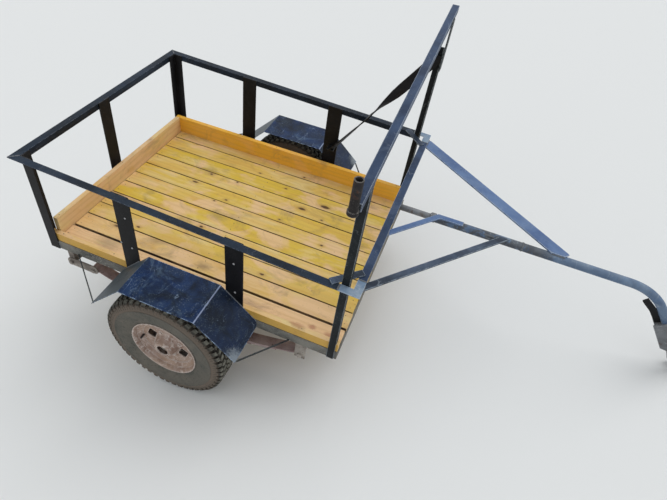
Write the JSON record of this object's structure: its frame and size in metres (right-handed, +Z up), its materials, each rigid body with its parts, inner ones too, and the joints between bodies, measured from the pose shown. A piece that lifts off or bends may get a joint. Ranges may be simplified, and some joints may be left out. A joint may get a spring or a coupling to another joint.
{
  "type": "motorcycle trailer",
  "caption": "Small single-axle open trailer with wooden deck, angle-iron rails, high front cross bar, folded fenders and a braced drawbar bent down to its hitch.",
  "frame": {"origin": "on the floor, at the middle of the bounding box's footprint", "axes": "+X forward along the drawbar, +Y to the trailer's left, +Z up; the trailer stands nose down on its tyres and hitch"},
  "size_m": [2.2756, 1.264, 1.0799],
  "materials": {
    "navy_paint": "worn semi-gloss",
    "bright_blue_paint": "worn semi-gloss",
    "rusty_dark_paint": "rusty",
    "spattered_paint": "mud spattered",
    "muddy_steel": "muddy",
    "dusty_rim": "dusty",
    "tyre": "dusty",
    "deck_wood": "weathered"
  },
  "bodies": {
    "chassis": {"axle": "muddy_steel", "base_front": "spattered_paint", "base_rear": "spattered_paint", "base_side_left": "spattered_paint", "base_side_right": "spattered_paint", "board_left": "deck_wood", "board_rear": "deck_wood", "board_right": "deck_wood", "brace_left": "bright_blue_paint", "brace_right": "navy_paint", "corner_flats": "navy_paint", "corner_plate_left": "navy_paint", "corner_plate_right": "navy_paint", "cross_members": "spattered_paint", "deck_planks": "deck_wood", "drawbar_collar": "rusty_dark_paint", "drawbar_pipe": "navy_paint", "drawbar_root": "rusty_dark_paint", "fender_left": "navy_paint", "fender_right": "navy_paint", "fender_rods_left": "navy_paint", "fender_rods_right": "navy_paint", "hitch_cheek_left": "rusty_dark_paint", "hitch_cheek_right": "rusty_dark_paint", "hitch_gusset": "rusty_dark_paint", "mid_post_rear": "navy_paint", "mid_posts_left": "navy_paint", "mid_posts_right": "navy_paint", "pole_socket": "rusty_dark_paint", "post_extension": "navy_paint", "post_front_left": "navy_paint", "post_front_right": "navy_paint", "post_rear_left": "navy_paint", "post_rear_right": "navy_paint", "rail_front": "navy_paint", "rail_left": "navy_paint", "rail_rear": "navy_paint", "rail_right": "navy_paint", "shackle_left": "muddy_steel", "shackle_right": "muddy_steel", "spring_clamp_left": "muddy_steel", "spring_clamp_right": "muddy_steel", "spring_hangers_left": "muddy_steel", "spring_hangers_right": "muddy_steel", "spring_left": "muddy_steel", "spring_right": "muddy_steel", "stay": "navy_paint", "strut": "bright_blue_paint", "top_bar": "navy_paint"},
    "wheel_right": {"tyre_right": "tyre", "rim_right": "dusty_rim", "hub_right": "muddy_steel"},
    "wheel_left": {"tyre_left": "tyre", "rim_left": "dusty_rim", "hub_left": "muddy_steel"}
  },
  "joints": [
    {"name": "wheel_right_spin", "type": "hinge", "parent": "chassis", "child": "wheel_right", "pos_m": [-0.59483, -0.557, 0.242], "axis": [0, 1, 0], "continuous": true},
    {"name": "wheel_left_spin", "type": "hinge", "parent": "chassis", "child": "wheel_left", "pos_m": [-0.59483, 0.557, 0.242], "axis": [0, 1, 0], "continuous": true}
  ]
}
